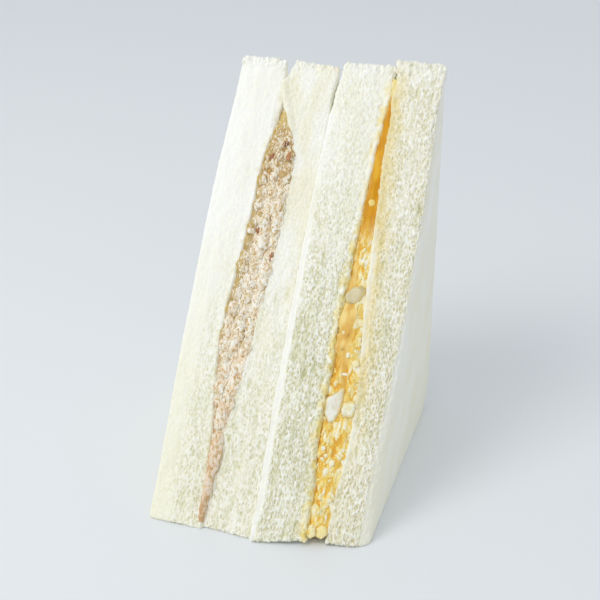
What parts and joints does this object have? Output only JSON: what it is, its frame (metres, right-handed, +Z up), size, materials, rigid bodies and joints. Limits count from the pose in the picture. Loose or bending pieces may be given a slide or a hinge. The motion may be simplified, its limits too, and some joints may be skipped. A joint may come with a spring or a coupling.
{
  "type": "tuna and egg sandwich",
  "caption": "Crustless white bread sandwiches cut corner to corner, tuna filling beside egg filling, standing on a short side with the long cut leaning back.",
  "frame": {"origin": "under the middle of the sandwich's box, on the surface that it stands on", "axes": "+X across the slices, from the tuna side to the egg side; -Y towards the foot of the long cut; +Z up"},
  "size_m": [0.0666, 0.0912, 0.1175],
  "materials": {
    "bread": "soft open white bread crumb",
    "tuna": "moist flaked fish with dressing",
    "egg": "moist chopped egg with dressing",
    "egg_white": "smooth moist boiled egg white"
  },
  "bodies": {
    "root": {"bread_tuna_outer": "bread", "tuna_filling": "tuna", "bread_tuna_inner": "bread", "bread_egg_inner": "bread", "egg_filling": "egg", "egg_white_piece_1": "egg_white", "egg_white_piece_2": "egg_white", "egg_white_piece_3": "egg_white", "bread_egg_outer": "bread"}
  },
  "joints": []
}
